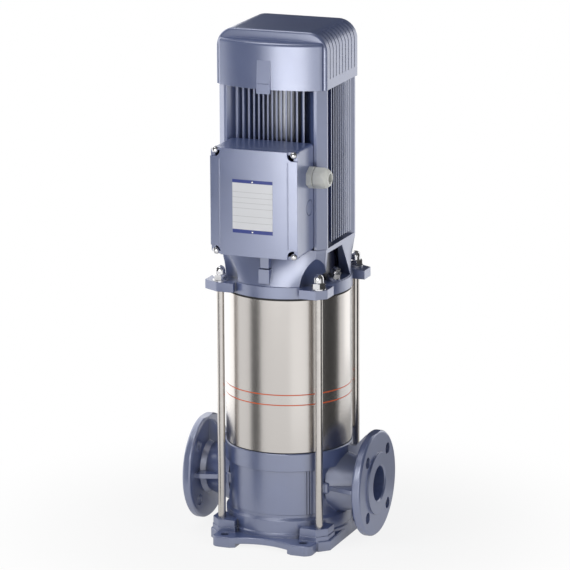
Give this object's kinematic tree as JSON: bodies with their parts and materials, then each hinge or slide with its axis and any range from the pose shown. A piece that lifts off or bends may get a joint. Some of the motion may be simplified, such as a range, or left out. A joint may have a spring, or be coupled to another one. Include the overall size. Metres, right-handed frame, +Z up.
{
  "type": "vertical multistage pump",
  "caption": "Vertical in-line multistage pump with finned electric motor, tie-rod clamped steel barrel, coupling lantern and flanged base.",
  "frame": {"origin": "on the shaft axis at the floor, centre of the four foundation bolt holes", "axes": "+Z up along the shaft, +X out of the discharge port, -Y towards the terminal box"},
  "size_m": [0.3, 0.2753, 0.803],
  "materials": {
    "casting_paint": "smooth metallic blue-grey paint on a casting",
    "lantern_paint": "smooth metallic blue-grey paint on a casting",
    "guard_paint": "dark blue painted sheet",
    "motor_paint": "metallic blue-grey paint on die-cast aluminium",
    "cover_paint": "metallic blue-grey painted sheet",
    "box_paint": "metallic blue-grey paint",
    "lid_paint": "metallic blue-grey paint",
    "barrel_steel": "bright rolled stainless sheet",
    "rod_steel": "bright drawn rod",
    "washer_steel": "plain washer steel",
    "nut_chrome": "polished dome nut",
    "plug_steel": "machined stainless steel",
    "seal_rubber": "black seal rubber",
    "gasket_rubber": "dark sheet gasket",
    "gland_rubber": "black seal rubber",
    "stage_steel": "pressed stainless sheet",
    "impeller_steel": "welded stainless sheet",
    "bearing_carbide": "dark lapped bearing ceramic",
    "bearing_steel": "ground bearing steel",
    "shaft_steel": "ground shaft steel",
    "coupling_steel": "machined grey coupling",
    "screw_black": "blackened socket screw",
    "screw_steel": "bright pan-head screw",
    "core_steel": "stacked electrical sheet",
    "winding_copper": "varnished copper coil ends",
    "fan_plastic": "black moulded fan",
    "plate_metal": "printed plate left without lettering",
    "board_plastic": "dark moulded terminal board",
    "stud_brass": "plain brass",
    "gland_plastic": "light grey moulded plastic"
  },
  "bodies": {
    "housing": {"base_casting": "casting_paint", "drain_plug": "plug_steel", "barrel_lower_seal": "seal_rubber", "barrel": "barrel_steel", "barrel_upper_seal": "seal_rubber", "tie_rods": "rod_steel", "tie_rod_washers": "washer_steel", "tie_rod_nuts": "nut_chrome", "inlet_plate": "stage_steel", "lower_bush": "bearing_carbide", "stage_chambers": "stage_steel", "neck_rings": "bearing_carbide", "discharge_cage": "stage_steel", "seal_stationary_ring": "bearing_carbide", "seal_cover": "stage_steel", "lantern": "lantern_paint", "coupling_guards": "guard_paint", "fill_plug": "plug_steel", "motor_bolts": "screw_black", "drive_end_shield": "motor_paint", "motor_frame": "motor_paint", "stator_core": "core_steel", "stator_windings": "winding_copper", "bearing_outer_rings": "bearing_steel", "rear_end_shield": "motor_paint", "fan_cover": "cover_paint", "cover_screws": "screw_steel", "terminal_box": "box_paint", "box_gasket": "gasket_rubber", "terminal_lid": "lid_paint", "lid_screws": "screw_steel", "nameplate": "plate_metal", "terminal_board": "board_plastic", "terminal_studs": "stud_brass", "gland_body": "gland_plastic", "gland_seal": "gland_rubber", "gland_nut": "gland_plastic"},
    "rotor": {"pump_shaft": "shaft_steel", "impellers": "impeller_steel", "spacer_sleeves": "impeller_steel", "shaft_nut": "washer_steel", "seal_bellows": "seal_rubber", "seal_rotating_ring": "bearing_carbide", "coupling_front_half": "coupling_steel", "coupling_rear_half": "coupling_steel", "coupling_screws": "screw_black", "motor_shaft": "shaft_steel", "rotor_core": "core_steel", "bearing_inner_rings": "bearing_steel", "cooling_fan": "fan_plastic"},
    "vent_screw": {"vent_screw": "nut_chrome"}
  },
  "joints": [
    {"name": "rotor_spin", "type": "hinge", "parent": "housing", "child": "rotor", "pos_m": [0, 0, 0.438], "axis": [0, 0, 1], "continuous": true},
    {"name": "vent_turn", "type": "hinge", "parent": "housing", "child": "vent_screw", "pos_m": [0.08171, -0.02343, 0.413], "axis": [0.3601, -0.1033, 0.9272], "range_deg": [0, 360]}
  ]
}
